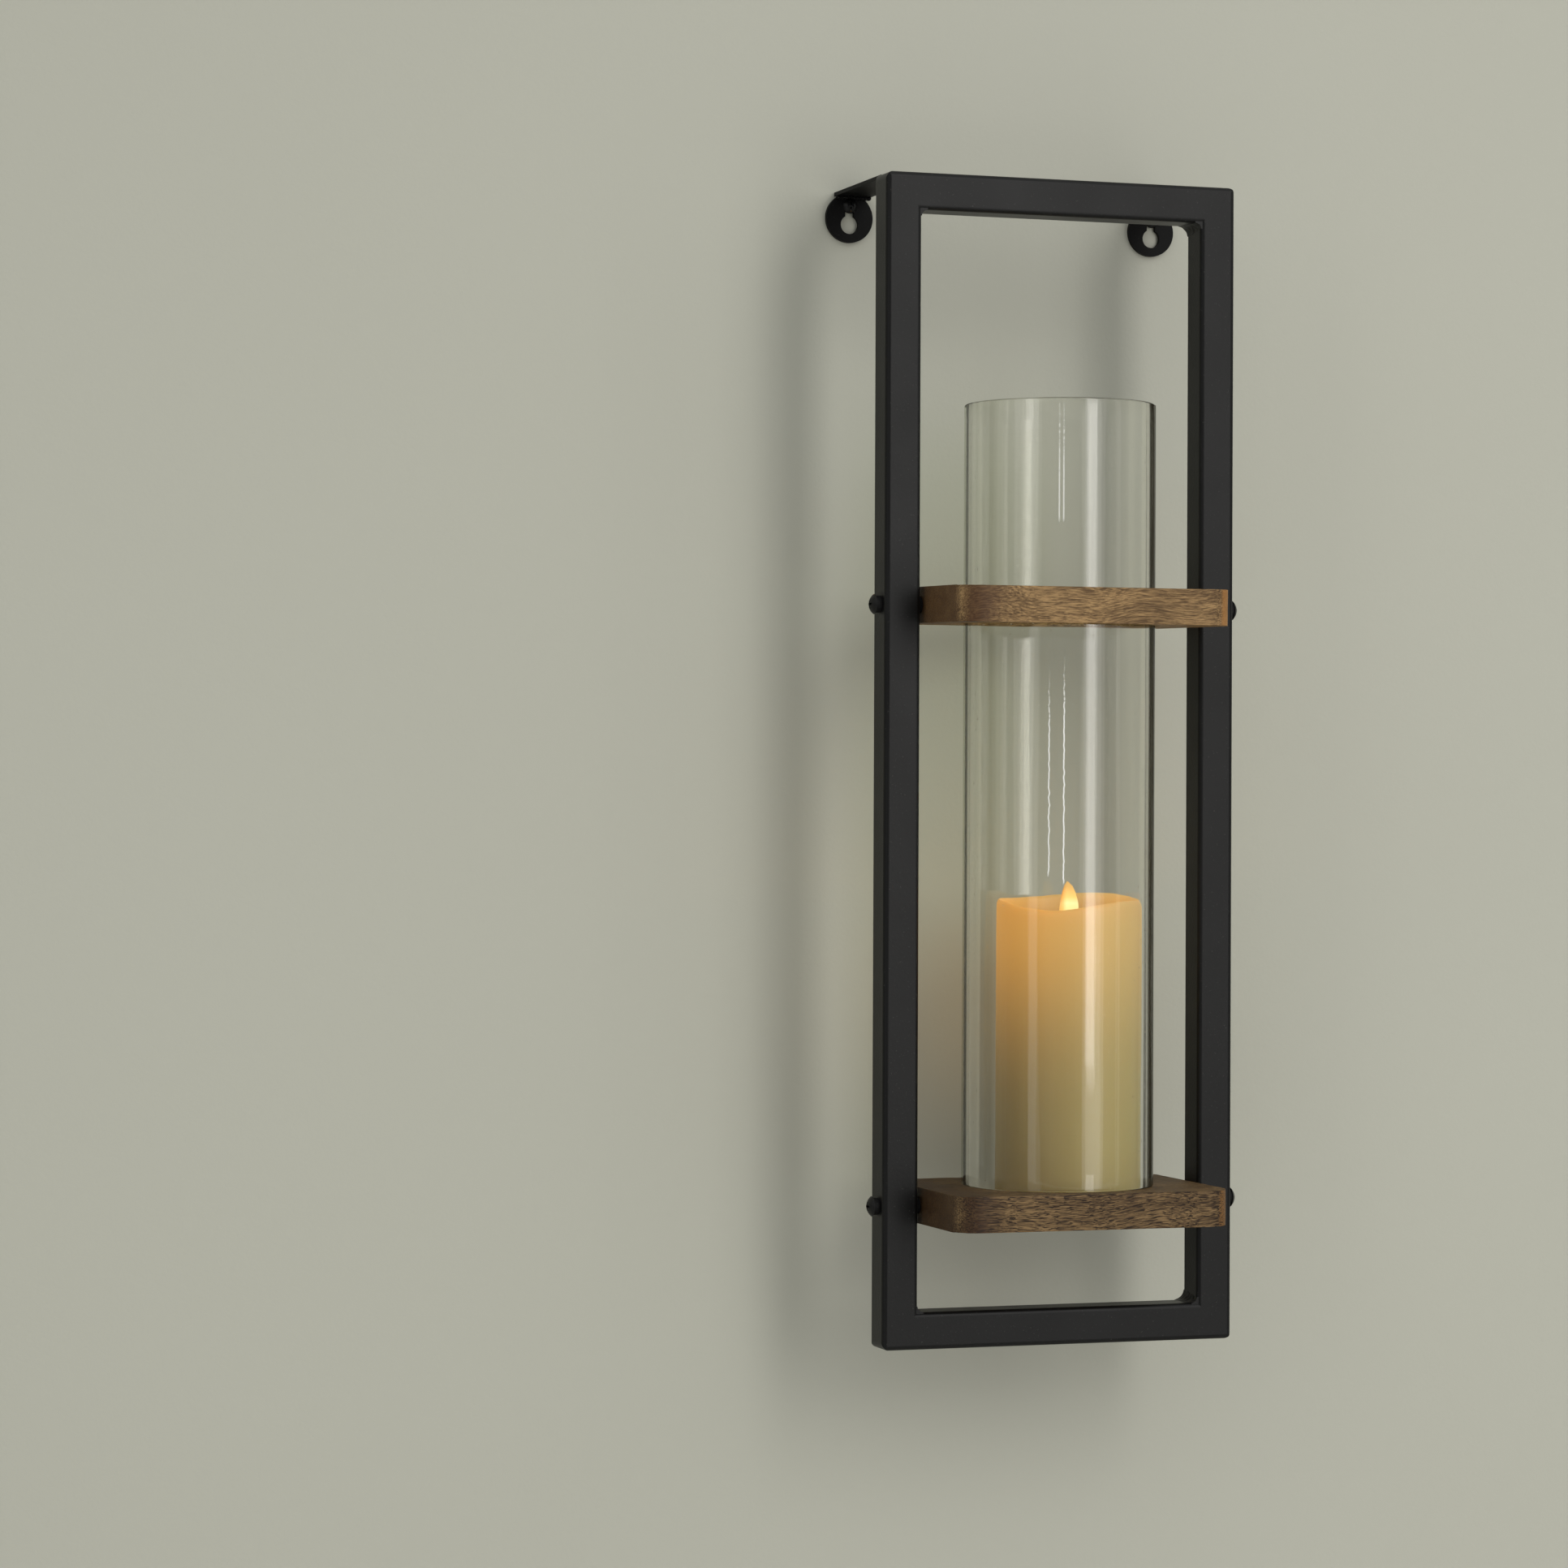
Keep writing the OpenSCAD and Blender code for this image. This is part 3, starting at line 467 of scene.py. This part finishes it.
def distressed_wood(name, start, tone_scale, depth):
    """Brushed mango wood: start picks the plank, tone_scale is 1 for the upper board and less
    for the lower one, which is darker all over, and depth says how dark the brown lies in the pores."""
    wood = Finish(name)
    plank = wood.add(
        "Mapping", {},
        {"Vector": wood.place, "Location": (start, start, start), "Rotation": (0.0, 0.04, 0.05)})
    grain = plank
    for scale, reach in ((15.0, 0.020), (170.0, 0.0008)):
        swirl = wood.add("TexNoise", {}, {"Vector": plank, "Scale": scale, "Detail": 1.0}, "Color")
        drift = wood.add("VectorMath", {"operation": "SUBTRACT"}, {0: swirl, 1: (0.5, 0.5, 0.5)})
        drift = wood.add("VectorMath", {"operation": "SCALE"}, {0: drift, "Scale": reach})
        grain = wood.add("VectorMath", {"operation": "ADD"}, {0: grain, 1: drift})
    figure = wood.noise(1.0, 3.0, 0.55, grain, (11.0, 110.0, 150.0))
    fibres = wood.noise(1.0, 3.0, 0.62, grain, (110.0, 1650.0, 1650.0))
    pores = wood.noise(1.0, 1.0, 0.5, grain, (140.0, 2100.0, 2100.0))
    patches = wood.noise(40.0, 3.0)
    blend = fibres * 0.62 + figure * 0.23 + patches * 0.15
    tones = [(0.41, WOOD_DARK), (0.49, WOOD_MID), (0.59, WOOD_PALE)]
    tone = wood.add("ValToRGB", {"stops": tones}, {0: blend})
    bend = wood.add("Attribute", {"attribute_name": "bend"}, {}, "Fac")
    edge = wood.add("Attribute", {"attribute_name": "wear"}, {}, "Fac")
    right_end = wood.add("Attribute", {"attribute_name": "right_end"}, {}, "Fac")
    # Painted highlight: the right end is amber where it turns towards the light.
    amber = wood.step(right_end, 0.20, 0.38)
    sides = wood.add("SeparateXYZ", {}, {"Vector": wood.place}, "X")
    # Painted shade: the left end face and the front's left end, beside the stile, are darker, redder and a
    # little glossier.
    left_shade_band = wood.step(sides + 0.02 * (patches - 0.5), LEFT_SHADE_END, LEFT_SHADE_END + 0.018, 1.0, 0.0)
    end_face = wood.step(bend, 0.10, 0.34, 1.0, 0.0) * (1.0 - amber)
    left_end_shade = wood.larger(left_shade_band * wood.step(bend, 0.30, 0.62), 0.85 * end_face)
    # Partly rubbed-back wear and partly painted highlight: a paler band on the left corner's curve and on
    # the right end face.
    corner_wear_and_highlight = wood.step(bend, 0.08, 0.24) * wood.step(bend, 0.30, 0.46, 1.0, 0.0)
    corner_wear_and_highlight = corner_wear_and_highlight + wood.step(right_end, 0.52, 0.62)
    crowded = wood.step(right_end, 0.01, 0.08) * wood.step(right_end, 0.20, 0.34, 1.0, 0.0)
    stroke = wood.step(pores + 0.05 * crowded + 0.035 * depth, 0.56, 0.64)
    tone = wood.mix(left_end_shade * 0.78, tone, LEFT_SHADE_RED)
    tone = wood.mix(amber * 0.75, tone, RIGHT_END_HIGHLIGHT)
    tone = wood.mix(stroke * depth, tone, PORE_BROWN)
    # Paler towards raw wood at worn edges, in the fibres and patches, and where the painted highlight lies.
    pale_wear_and_highlight = wood.step(edge * 0.9 + corner_wear_and_highlight * 0.34 + 1.3 * (fibres - 0.5) + 0.5 * (patches - 0.5), 0.25, 0.95)
    tone = wood.mix(pale_wear_and_highlight * 0.42, tone, RAW_WOOD_AND_HIGHLIGHT)
    wood.set(**{
        "Base Color": wood.mix(1.0, tone, (tone_scale, tone_scale * 0.985, tone_scale * 0.95), "MULTIPLY"),
        "Roughness": 0.46 + 0.24 * fibres - 0.10 * left_end_shade,
        "Normal": wood.emboss(0.7 * fibres + 0.5 * pores + 0.4 * figure, 0.0006, 0.8),
        "Specular IOR Level": 0.22,
    })
    return wood


ring_bm = board("upper_ring", 0.0)
ring_low, ring_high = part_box("upper_ring")
bmesh.ops.rotate(
    ring_bm, verts=ring_bm.verts,
    cent=(0.0, (stile_low.y + stile_high.y) / 2, (ring_low.z + ring_high.z) / 2),
    matrix=Matrix.Rotation(math.radians(RING_SAG), 3, "X"))
piece_from(
    "ring_board", ring_bm, distressed_wood("ring_wood", 0.0, 1.0, 0.30),
    "sconce", "upper_ring")
piece_from(
    "shelf_board", board("lower_shelf", 0.31), distressed_wood("shelf_wood", 3.7, 0.58, 0.95),
    "sconce", "lower_shelf")

# ---------------------------------------------------------------- glass
# A drawn cylinder of clear glass with its rim melted round. Its wall wavers a little, runs
# in faint upright cords and holds a few fine thread marks and seeds. The thread marks are
# painted pale as painted glints. A dark line at the rim, darker on the far half, and a dark
# right edge are painted dark refraction, and the left edge is painted clearer.
GLASS_RINGS = 44
GLASS_SIDES = 192
RIM_STEPS = 8
GLASS_WALL = 0.0015
GLASS_INSET = 0.0003
RIM_LOW = 0.0004
RIM_DIP = 0.0008

glass_low, glass_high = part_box("glass_cylinder")
glass_axis = (glass_low + glass_high) / 2
glass_r = (glass_high.x - glass_low.x) / 2
glass_h = glass_high.z - glass_low.z


def lathe(profile, sides):
    """A closed outline of radius and height pairs, spun a full turn round Z."""
    bm = bmesh.new()
    verts = [bm.verts.new((r, 0.0, z)) for r, z in profile]
    edges = [bm.edges.new((a, b)) for a, b in zip(verts, verts[1:] + verts[:1])]
    bmesh.ops.spin(
        bm, geom=verts + edges, cent=(0.0, 0.0, 0.0), axis=(0.0, 0.0, 1.0), angle=math.tau,
        steps=sides, use_merge=True)
    bmesh.ops.remove_doubles(bm, verts=bm.verts, dist=1e-7)
    bmesh.ops.recalc_face_normals(bm, faces=bm.faces)
    return bm


half_wall = GLASS_WALL / 2
straight = [half_wall + (glass_h - 2 * half_wall) * i / GLASS_RINGS for i in range(GLASS_RINGS + 1)]
mid_r = glass_r - half_wall - GLASS_INSET
outline = [(mid_r + half_wall, z) for z in straight]
outline += [
    (mid_r + half_wall * math.cos(a), straight[-1] + half_wall * math.sin(a))
    for a in (math.pi * i / RIM_STEPS for i in range(1, RIM_STEPS))
]
outline += [(mid_r - half_wall, z) for z in reversed(straight)]
outline += [
    (mid_r - half_wall * math.cos(a), straight[0] - half_wall * math.sin(a))
    for a in (math.pi * i / RIM_STEPS for i in range(1, RIM_STEPS))
]
bm = lathe(outline, GLASS_SIDES)
for v in bm.verts:
    turn = math.atan2(v.co.y, v.co.x)
    radius = math.hypot(v.co.x, v.co.y)
    ring = Vector((math.cos(turn), math.sin(turn), 0.0))
    side = 7.0 if radius > mid_r else 0.0
    slow = noise.noise(ring * 1.3 + Vector((side, 0.0, v.co.z * 4.0)))
    cords = noise.noise(ring * 9.0 + Vector((side, 3.0, v.co.z * 1.2)))
    fine = noise.noise(ring * 26.0 + Vector((side, 5.0, v.co.z * 1.5)))
    shift = 0.00035 * slow + 0.00012 * cords + 0.00003 * fine
    v.co += ring * (shift - 0.0002)
    lift = max(0.0, v.co.z / glass_h) ** 8
    v.co.z += RIM_LOW * lift * (noise.noise(ring * 1.7 + Vector((0.0, 9.0, 0.0))) - 1)
    v.co.z -= RIM_DIP * lift * (2 * max(0.0, ring.y) * abs(ring.x)) ** 2
bmesh.ops.translate(bm, verts=bm.verts, vec=(glass_axis.x, glass_axis.y, glass_low.z))

clear = Finish("drawn_glass", Metallic=0.0, IOR=1.46, Transmission_Weight=1.0)
from_axis = clear.add(
    "Mapping", {}, {"Vector": clear.place, "Location": (-glass_axis.x, -glass_axis.y, 0.0)})
parts = clear.add("SeparateXYZ", {}, {"Vector": from_axis}, "X")
split = parts.socket.node
across, along, height = (Value(clear, split.outputs[i]) for i in range(3))
turn = along.sum("ARCTAN2", along, across)
streaks = clear.noise(1.0, 3.0, 0.6, from_axis, (160.0, 160.0, 3.0))
seeds = clear.step(clear.noise(420.0, 1.0), 0.74, 0.80)


def thread(at, width, low, high, seed, wave, fade=0.05):
    """A fine thread in the glass at an angle in degrees, between two heights, broken in places; the mask
    where it is painted pale as a painted glint.
    """
    waver = clear.noise(1.0, 4.0, 0.70, None, (0.0, 0.0, 170.0 + seed)) - 0.5
    off = abs(turn - math.radians(at) - waver * wave)
    line = clear.step(off, width * 0.4, width, 1.0, 0.0)
    gaps = clear.noise(1.0, 3.0, 0.8, None, (0.0, 0.0, 520.0 + 3 * seed))
    broken = clear.step(gaps + clear.step(height, high - 0.06, high, 0.14, -0.08), 0.44, 0.54)
    reach = clear.step(height, low, low + 0.004) * clear.step(height, high - fade, high, 1.0, 0.0)
    return line * (0.15 + 0.85 * broken) * reach


# Painted dark refraction: a dark band along the top of the rim, stronger on the far half.
far_half = clear.step(along, -0.004, 0.010)
painted_dark_rim = clear.step(height, glass_high.z - 0.0012, glass_high.z - 0.0008)
painted_dark_rim = painted_dark_rim * (0.18 + 0.67 * far_half)
# Painted dark refraction on the right edge and a painted clearer left edge, by Layer Weight and by position.
grazing = clear.add("LayerWeight", {}, {"Blend": 0.5}, "Facing")
painted_dark_right_edge = clear.step(grazing, 0.62, 0.72) * clear.step(across, 0.030, 0.036) * (0.55 + 0.45 * streaks)
painted_clear_left_edge = clear.step(grazing, 0.70, 0.86) * clear.step(across, -0.036, -0.030, 1.0, 0.0)
# Painted glints: the thread marks are mixed towards a pale diffuse shader.
thread_glints = thread(-117.7, 0.0080, -0.350, -0.232, 1.0, 0.07)
thread_glints = thread_glints + thread(-108.9, 0.0095, -0.354, -0.226, 7.0, 0.05)
thread_glints = thread_glints + 0.5 * thread(-109.6, 0.010, -0.167, -0.104, 4.0, 0.004, 0.002)
thread_glints = thread_glints + 0.5 * thread(-112.2, 0.010, -0.167, -0.104, 9.0, 0.004, 0.002)
clear.set(**{
    "Base Color": clear.mix(streaks, (0.985, 0.985, 0.962), (0.965, 0.964, 0.925)),
    "Roughness": 0.012 + 0.03 * streaks,
    "Normal": clear.emboss(0.5 * streaks + 0.8 * seeds, 0.00025, 0.25),
})
white = clear.add("BsdfDiffuse", {}, {"Color": (0.95, 0.95, 0.93)})
dark = clear.add("BsdfDiffuse", {}, {"Color": (0.045, 0.040, 0.026)})
through = clear.add("BsdfTransparent", {}, {"Color": (0.93, 0.94, 0.90)})
seen = clear.add("MixShader", {}, {0: painted_clear_left_edge * 0.7, 1: Value(clear, clear.shader.outputs[0]), 2: through})
seen = clear.add("MixShader", {}, {0: thread_glints * 0.85, 1: seen, 2: white})
seen = clear.add("MixShader", {}, {0: clear.larger(painted_dark_rim, painted_dark_right_edge * 0.8), 1: seen, 2: dark})
ray = clear.add("LightPath", {}, {}, "Is Shadow Ray")
scattered = Value(clear, ray.socket.node.outputs["Is Diffuse Ray"])
clear.fill(clear.output.inputs["Surface"], clear.add(
    "MixShader", {}, {0: clear.larger(ray, scattered), 1: seen, 2: through}))
piece_from("glass_tube", bm, clear, "glass", "glass_cylinder", 60.0)

# ---------------------------------------------------------------- candle wax
# A poured shell of ivory wax, melted at the top into a shallow pool with an uneven rim that
# is low in front and high at the back. The lamp's light showing through near the top is a
# painted glow of emission, more orange on the left, and painted shade makes the body darker on
# the left, most of all low down. The pool is darker and more orange.
RIM_LEVEL = 0.150
RIM_HEIGHTS = (
    0.1512, 0.1528, 0.1528, 0.1512, 0.1503, 0.1503, 0.1488, 0.1462, 0.1450, 0.1476, 0.1497, 0.1495)
WAX_SIDES = 160
wax_low, wax_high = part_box("candle_wax")
wax_axis = (wax_low + wax_high) / 2
wax_r = (wax_high.x - wax_low.x) / 2
WAX_WALL = 0.005
WAX_INNER = wax_r - WAX_WALL
CORE_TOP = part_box("candle_core")[1].z - wax_low.z
profile = [(WAX_INNER, 0.0), (wax_r - 0.0012, 0.0), (wax_r - 0.0003, 0.0004), (wax_r, 0.0014)]
profile += [(wax_r, 0.006 + 0.134 * i / 24) for i in range(25)]
profile += [(wax_r - inset, RIM_LEVEL - drop) for inset, drop in (
    (0.0, 0.0065), (0.0001, 0.0035), (0.0005, 0.0015), (0.0011, 0.0004), (0.0018, 0.0), (0.0025, 0.0005),
    (0.0031, 0.0018), (0.0038, 0.0042), (0.0052, 0.0078), (0.0080, 0.0112), (0.0120, 0.0136),
    (0.0170, 0.0153), (0.0230, 0.0164), (0.0281, 0.0168), (0.0293, 0.0172), (0.0301, 0.0182))]
profile += [(0.008, CORE_TOP + 0.002), (0.008, CORE_TOP), (WAX_INNER, CORE_TOP)]
profile += [(WAX_INNER, CORE_TOP * (1 - i / 6)) for i in range(1, 6)]
bm = lathe(profile, WAX_SIDES)


def rim_height(turn):
    """Height of the rim at an angle, on a smooth curve through the listed heights."""
    place = (turn / math.tau) % 1.0 * len(RIM_HEIGHTS)
    i, t = int(place), place % 1.0
    a, b, c, d = (RIM_HEIGHTS[(i + k) % len(RIM_HEIGHTS)] for k in (-1, 0, 1, 2))
    return b + 0.5 * t * (c - a + t * (2 * a - 5 * b + 4 * c - d + t * (3 * (b - c) + d - a)))


for v in bm.verts:
    turn = math.atan2(v.co.y, v.co.x)
    radius = math.hypot(v.co.x, v.co.y)
    ring = Vector((math.cos(turn), math.sin(turn), 0.0))
    share = min(1.0, max(0.0, (v.co.z - 0.100) / 0.046)) ** 2
    outer = min(1.0, max(0.0, (radius - 0.012) / 0.022))
    if radius > WAX_INNER + 0.0001 or v.co.z > CORE_TOP + 0.001:
        v.co.z += (rim_height(turn) - RIM_LEVEL) * share * (0.25 + 0.75 * outer)
        ripple = noise.noise(v.co * 60.0 + Vector((2.0, 0.0, 0.0)))
        if radius < wax_r - 0.004:
            v.co.z += 0.0005 * ripple * outer
        else:
            v.co -= ring * (0.00012 * abs(ripple) + 0.0005 * share * abs(noise.noise(ring * 1.5)))
bmesh.ops.translate(bm, verts=bm.verts, vec=(wax_axis.x, wax_axis.y, wax_low.z))

wax = Finish("ivory_wax", IOR=1.45)
wax_parts = wax.add("SeparateXYZ", {}, {"Vector": wax.place}, "Z")
level = wax.step(wax_parts, wax_low.z, wax_high.z)
mottle = wax.noise(45.0, 4.0)
runs = wax.noise(1.0, 3.0, 0.6, None, (90.0, 90.0, 9.0))
# Painted glow: the wax's emission rises steeply towards the top.
painted_glow_rise = level ** 2.2
across = Value(wax, wax_parts.socket.node.outputs["X"])
to_right = wax.step(across, wax_axis.x - 0.040, wax_axis.x + 0.026)
along = Value(wax, wax_parts.socket.node.outputs["Y"])
away = (across - wax_axis.x) ** 2 + (along - wax_axis.y) ** 2
in_pool = wax.step(away, (wax_r - 0.006) ** 2, (wax_r - 0.0025) ** 2, 1.0, 0.0)
in_pool = in_pool * wax.step(level, 0.75, 0.85)
# Painted shade: the body is darker on the left, most of all low down, and paler to the right.
shaded_body_colour = wax.mix(
    to_right, wax.mix(level, (0.29, 0.205, 0.070), (0.36, 0.245, 0.075)),
    wax.mix(level, (0.44, 0.365, 0.150), (0.44, 0.355, 0.165)))
wax.set(**{
    "Base Color": wax.mix(
        in_pool * 0.75, wax.mix(mottle * 0.25 + runs * 0.1, shaded_body_colour, (0.40, 0.29, 0.12)),
        (0.30, 0.17, 0.05)),
    "Roughness": 0.38 + 0.16 * mottle,
    "Subsurface Weight": 0.25,
    "Subsurface Radius": (0.012, 0.006, 0.0025),
    "Subsurface Scale": 1.0,
    "Coat Weight": 0.12,
    "Coat Roughness": 0.25,
    # Painted glow: emission, more orange on the left.
    "Emission Color": wax.mix(
        painted_glow_rise, (0.02, 0.009, 0.0), wax.mix(to_right, (0.90, 0.36, 0.036), (0.54, 0.27, 0.060))),
    "Emission Strength": 0.54,
    "Normal": wax.emboss(mottle + 0.5 * runs, 0.0006, 0.35),
})
piece_from("wax_shell", bm, wax, "candle", "candle_wax", 50.0)

# ---------------------------------------------------------------- flame
# A thin moulded plate in the shape of a flame, frosted, with softened edges. The lamp below
# lights it, and that light is a painted glow of emission, brightest below and amber at the tip,
# with painted shade on its left side. One lamp in front of it and one beside the candle stand
# for the light that it throws on the wax and on the wall.
flame_low, flame_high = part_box("flame_tip")
flame = Finish("frosted_flame", Roughness=0.5)
flame_z = flame.add("SeparateXYZ", {}, {"Vector": flame.place}, "Z")
rise = flame.step(flame_z, flame_high.z - 0.017, flame_high.z)
# Painted glow: emission brightest at the base and amber at the tip.
glow = flame.add("ValToRGB", {"stops": [
    (0.0, (1.0, 0.90, 0.34)), (0.25, (1.0, 0.93, 0.44)),
    (0.52, (0.96, 0.66, 0.19)), (1.0, (0.76, 0.44, 0.12))]}, {0: rise})
flame_x = Value(flame, flame_z.socket.node.outputs["X"])
# Painted shade: the flame's left side is darker.
shade_side = flame.step(flame_x, flame_low.x + 0.0005, flame_low.x + 0.0045, 0.62, 1.0)
shade = flame.add("CombineXYZ", {}, {0: 1.0, 1: shade_side, 2: shade_side * shade_side})
glow = flame.mix(1.0, glow, shade, "MULTIPLY")
flame.set(**{
    "Base Color": (0.03, 0.02, 0.008),
    "Specular IOR Level": 0.15,
    "Emission Color": glow,
    "Emission Strength": 1.0,
    "Normal": flame.emboss(flame.noise(900.0), 0.0001, 0.2),
})
piece_from(
    "flame_plate", rounded_copy("flame_tip", 0.0007, 3), flame, "flame",
    "flame_tip", 70.0)

FLAME_WATTS = 0.03
WALL_GLOW_WATTS = 0.007


def unseen_lamp(name, kind, watts, colour, place):
    """A small lamp that lights things but can't itself be seen, not even through the glass."""
    lamp = bpy.data.lights.new(name, kind)
    lamp.energy = watts
    lamp.color = colour
    holder = bpy.data.objects.new(name, lamp)
    holder.location = place
    holder.visible_camera = holder.visible_glossy = holder.visible_transmission = False
    scene.collection.objects.link(holder)
    return holder


front_glow = unseen_lamp(
    "flame_glow", "POINT", FLAME_WATTS, (1.0, 0.58, 0.24),
    ((flame_low.x + flame_high.x) / 2, flame_low.y - 0.006, flame_high.z - 0.009))
front_glow.data.shadow_soft_size = 0.004
back_glow = unseen_lamp(
    "glow_on_wall", "AREA", WALL_GLOW_WATTS, (1.0, 0.62, 0.28),
    (wax_axis.x - 0.022, wax_axis.y + 0.036, wax_high.z - 0.06))
back_glow.data.shape, back_glow.data.size, back_glow.data.size_y = "RECTANGLE", 0.03, 0.10
back_glow.rotation_euler = Vector((-0.45, 1.0, 0.0)).to_track_quat("-Z", "Y").to_euler()

# ---------------------------------------------------------------- inside the candle
# Moulded ivory plastic holds two cells, their springs and strip, a small circuit board, the
# switch, and the cup with the coil, lamp and wire that the flame swings on.


def plain_finish(name, dark, pale, metallic, gloss, scale, depth):
    """A moulded, plated or wrapped surface: two close tones, an uneven gloss and a fine texture."""
    made = Finish(name, Metallic=metallic)
    cloud = made.noise(scale, 3.0)
    made.set(**{
        "Base Color": made.mix(cloud, dark, pale),
        "Roughness": gloss + 0.15 * cloud,
        "Normal": made.emboss(made.noise(scale * 9.0, 2.0), depth, 0.4),
    })
    return made


finish_nodes(
    plain_finish("ivory_plastic", (0.80, 0.75, 0.60), (0.86, 0.82, 0.70), 0.0, 0.42, 60.0, 0.00004),
    "candle_core", "candle_base", "battery_cover", "flame_chamber")
finish_nodes(
    plain_finish("zinc_plate", (0.50, 0.50, 0.48), (0.68, 0.68, 0.66), 1.0, 0.25, 150.0, 0.00003),
    "battery_cover_screw", "battery_springs", "contact_plate", "pivot_wire", "slide_switch", "flame_magnet")
finish_nodes(
    plain_finish("cell_film", (0.05, 0.06, 0.07), (0.09, 0.10, 0.12), 0.0, 0.2, 40.0, 0.00002),
    "battery_cells")
finish_nodes(
    plain_finish("solder_mask", (0.02, 0.11, 0.04), (0.04, 0.17, 0.07), 0.0, 0.3, 220.0, 0.00004),
    "circuit_board")
finish_nodes(
    plain_finish("copper_wire", (0.40, 0.14, 0.05), (0.66, 0.27, 0.10), 1.0, 0.3, 500.0, 0.00008),
    "drive_coil")
finish_nodes(
    plain_finish("lamp_lens", (0.85, 0.70, 0.40), (0.95, 0.82, 0.52), 0.0, 0.1, 90.0, 0.00001),
    "flame_led")
finish_nodes(
    plain_finish("black_plastic", (0.02, 0.02, 0.02), (0.04, 0.04, 0.04), 0.0, 0.45, 120.0, 0.00004),
    "switch_slider")
